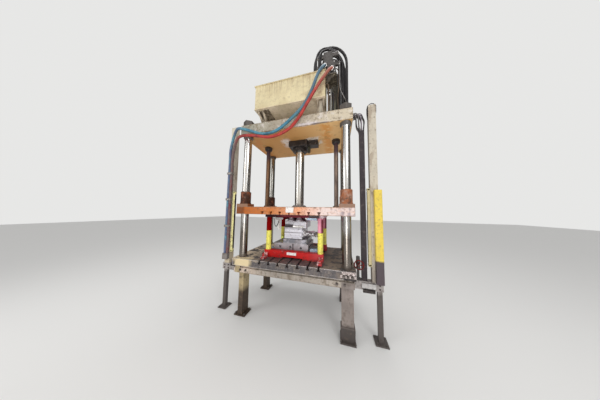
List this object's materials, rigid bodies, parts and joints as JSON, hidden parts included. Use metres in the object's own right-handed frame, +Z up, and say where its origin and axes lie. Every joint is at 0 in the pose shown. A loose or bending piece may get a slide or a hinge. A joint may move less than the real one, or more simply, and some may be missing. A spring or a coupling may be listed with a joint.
{
  "type": "hydraulic press",
  "caption": "Upright hydraulic press with chromed guide columns, slotted bed plate, moving platen with a fitted die set, roof oil tank with valves, side posts and a handwheel valve.",
  "frame": {"origin": "on the floor, under the middle of the press", "axes": "+Z up, +X to the right as an operator at the front sees the press, +Y to the rear"},
  "size_m": [2.686, 1.2871, 4.6288],
  "materials": {
    "cream_paint": "dirty cream paint, worn at the edges",
    "orange_paint": "faded orange paint with scuffs",
    "rust_paint": "dull red-brown paint",
    "chrome": "polished hard chrome with an oil film",
    "worn_steel": "dark worn steel",
    "grimy_black": "black paint under oil grime",
    "grey_paint": "dull grey paint",
    "red_paint": "bright red paint",
    "yellow_paint": "yellow paint",
    "die_steel": "ground steel",
    "blue_hose": "matte blue rubber cover",
    "red_hose": "matte red rubber cover",
    "black_pipe": "matte black",
    "dark_purple_grey": "dark grey paint"
  },
  "bodies": {
    "press_frame": {"bed_frame": "cream_paint", "crown_plate": "cream_paint", "oil_tank": "cream_paint", "tank_stand_left": "cream_paint", "tank_stand_right": "cream_paint", "manifold_bracket": "cream_paint", "return_cylinder_left": "cream_paint", "return_cylinder_right": "cream_paint", "curtain_post_left": "cream_paint", "curtain_post_right": "cream_paint", "bolster": "worn_steel", "leg_front_left": "grey_paint", "leg_front_right": "grey_paint", "leg_rear_left": "grey_paint", "leg_rear_right": "grey_paint", "outrigger_left": "grey_paint", "outrigger_right": "grey_paint", "pump_motor": "grey_paint", "column_front_left": "chrome", "column_front_right": "chrome", "column_rear_left": "chrome", "column_rear_right": "chrome", "ram_cylinder": "grimy_black", "ram_gland": "grimy_black", "return_gland_left": "grimy_black", "return_gland_right": "grimy_black", "filler_breather": "grimy_black", "pump": "grimy_black", "pressure_pipe": "grimy_black", "valve_manifold": "grimy_black", "stop_valve": "grimy_black", "tank_pipe": "black_pipe", "cylinder_pipe": "black_pipe", "cable_channel": "dark_purple_grey", "hose_rail": "dark_purple_grey", "light_curtain_left": "yellow_paint", "light_curtain_right": "yellow_paint", "scanner_cover": "yellow_paint", "stop_post_front_left": "yellow_paint", "stop_post_front_right": "yellow_paint", "stop_post_rear_left": "yellow_paint", "stop_post_rear_right": "yellow_paint", "die_rail_front": "red_paint", "die_rail_rear": "red_paint", "lower_die_shoe": "die_steel", "lower_die": "die_steel", "blue_hose": "blue_hose", "red_hose": "red_hose"},
    "platen_group": {"moving_platen": "orange_paint", "guide_bushing_front_left": "rust_paint", "guide_bushing_front_right": "rust_paint", "guide_bushing_rear_left": "rust_paint", "guide_bushing_rear_right": "rust_paint", "ram_rod": "chrome", "return_rod_left": "chrome", "return_rod_right": "chrome", "upper_die_shoe": "die_steel", "upper_die": "die_steel"},
    "wheel": {"handwheel": "red_paint"}
  },
  "joints": [
    {"name": "platen_slide", "type": "slide", "parent": "press_frame", "child": "platen_group", "axis": [0, 0, 1], "range_m": [0, 0.76]},
    {"name": "handwheel_turn", "type": "hinge", "parent": "press_frame", "child": "wheel", "pos_m": [0.994, -0.478, 1.006], "axis": [0, -1, 0], "range_deg": [-720, 720]}
  ]
}
